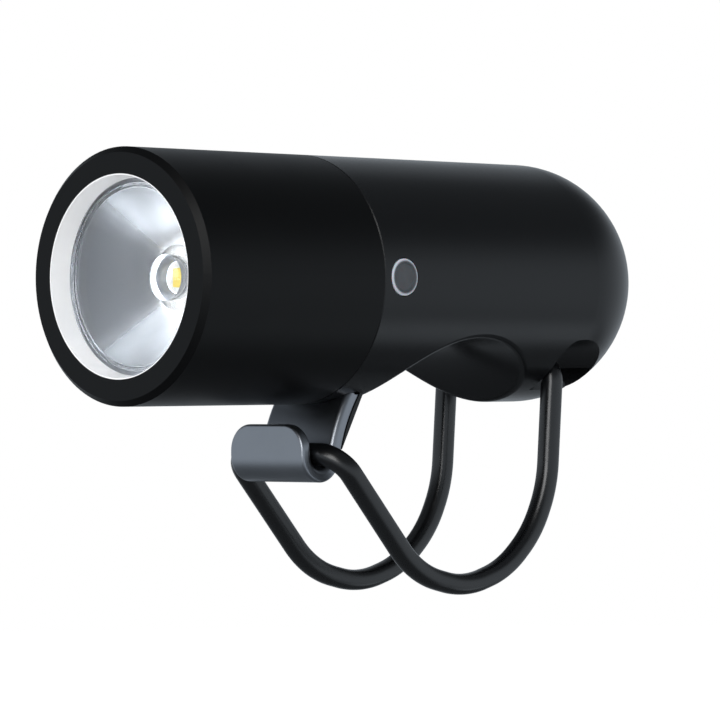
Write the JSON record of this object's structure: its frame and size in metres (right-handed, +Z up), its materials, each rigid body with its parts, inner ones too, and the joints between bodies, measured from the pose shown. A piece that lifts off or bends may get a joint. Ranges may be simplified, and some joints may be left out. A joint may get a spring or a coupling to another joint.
{
  "type": "bicycle headlight",
  "caption": "Tube-shaped bicycle headlight with a clear optic, a side button and a rubber band that straps it to a handlebar.",
  "frame": {"origin": "on the handlebar's axis under the saddle, midway between the light's two sides", "axes": "+X along the handlebar to the side with the button, +Y to the light's rear along its tube, +Z up"},
  "size_m": [0.0301, 0.082, 0.0534],
  "materials": {
    "head_anodised": "black anodised aluminium, fine satin, with slight turning marks",
    "collar_white": "white moulded plastic, satin",
    "optic_clear": "clear moulded acrylic, polished",
    "seal_rubber": "black rubber, matte",
    "seal_silicone": "light grey silicone rubber, satin",
    "holder_white": "white nylon, matte",
    "led_phosphor": "yellow phosphor under clear silicone",
    "board_metal_core": "white solder mask on an aluminium board",
    "screw_steel": "bright steel",
    "pad_silicone": "grey silicone, matte",
    "sink_aluminium": "turned aluminium, plain",
    "board_laminate": "green solder mask on glass laminate",
    "chip_black": "black moulded plastic, matte",
    "body_charcoal": "charcoal moulded plastic, fine matte",
    "hook_satin_grey": "grey blasted and anodised aluminium, satin",
    "band_rubber": "black moulded rubber, low gloss",
    "button_translucent": "translucent grey silicone over clear plastic",
    "cell_wrap": "cell in a shrink wrap",
    "foam_black": "closed-cell foam, matte",
    "nickel": "nickel strip",
    "port_steel": "plated steel shell",
    "cover_rubber": "charcoal rubber, matte"
  },
  "bodies": {
    "light": {"head_shell": "head_anodised", "lens_collar": "collar_white", "optic": "optic_clear", "lens_seal": "seal_silicone", "optic_holder": "holder_white", "led": "led_phosphor", "led_board": "board_metal_core", "board_screw_left": "screw_steel", "board_screw_right": "screw_steel", "thermal_pad": "pad_silicone", "heat_sink": "sink_aluminium", "standoff_upper": "screw_steel", "standoff_lower": "screw_steel", "driver_board": "board_laminate", "inductor": "chip_black", "driver_chip": "chip_black", "board_header": "chip_black", "body_shell": "body_charcoal", "seam_seal": "seal_rubber", "strap_hook": "hook_satin_grey", "hook_pin": "screw_steel", "button_gasket": "seal_rubber", "tact_switch": "chip_black", "switch_plunger": "holder_white", "main_board": "board_laminate", "status_led": "led_phosphor", "charge_chip": "chip_black", "battery_cell": "cell_wrap", "cell_cradle": "foam_black", "cell_top_pad": "foam_black", "cell_tab_front": "nickel", "cell_tab_rear": "nickel", "usb_port": "port_steel", "usb_tongue": "chip_black", "cover_anchor": "cover_rubber"},
    "band": {"band": "band_rubber"},
    "button": {"power_button": "button_translucent"},
    "cover": {"port_cover": "cover_rubber"}
  },
  "joints": [
    {"name": "band_stretch", "type": "slide", "parent": "light", "child": "band", "axis": [0, 0, -1], "range_m": [0, 0.01], "stiffness_N_per_m": 600, "deforming": ["band"]},
    {"name": "button_press", "type": "slide", "parent": "light", "child": "button", "axis": [-1, 0, 0], "range_m": [0, 0.0005], "stiffness_N_per_m": 3000},
    {"name": "cover_open", "type": "hinge", "parent": "light", "child": "cover", "pos_m": [0, 0.03328, 0.01789], "axis": [-1, 0, 0], "range_deg": [0, 90], "stiffness_Nm_per_rad": 0.0004}
  ]
}
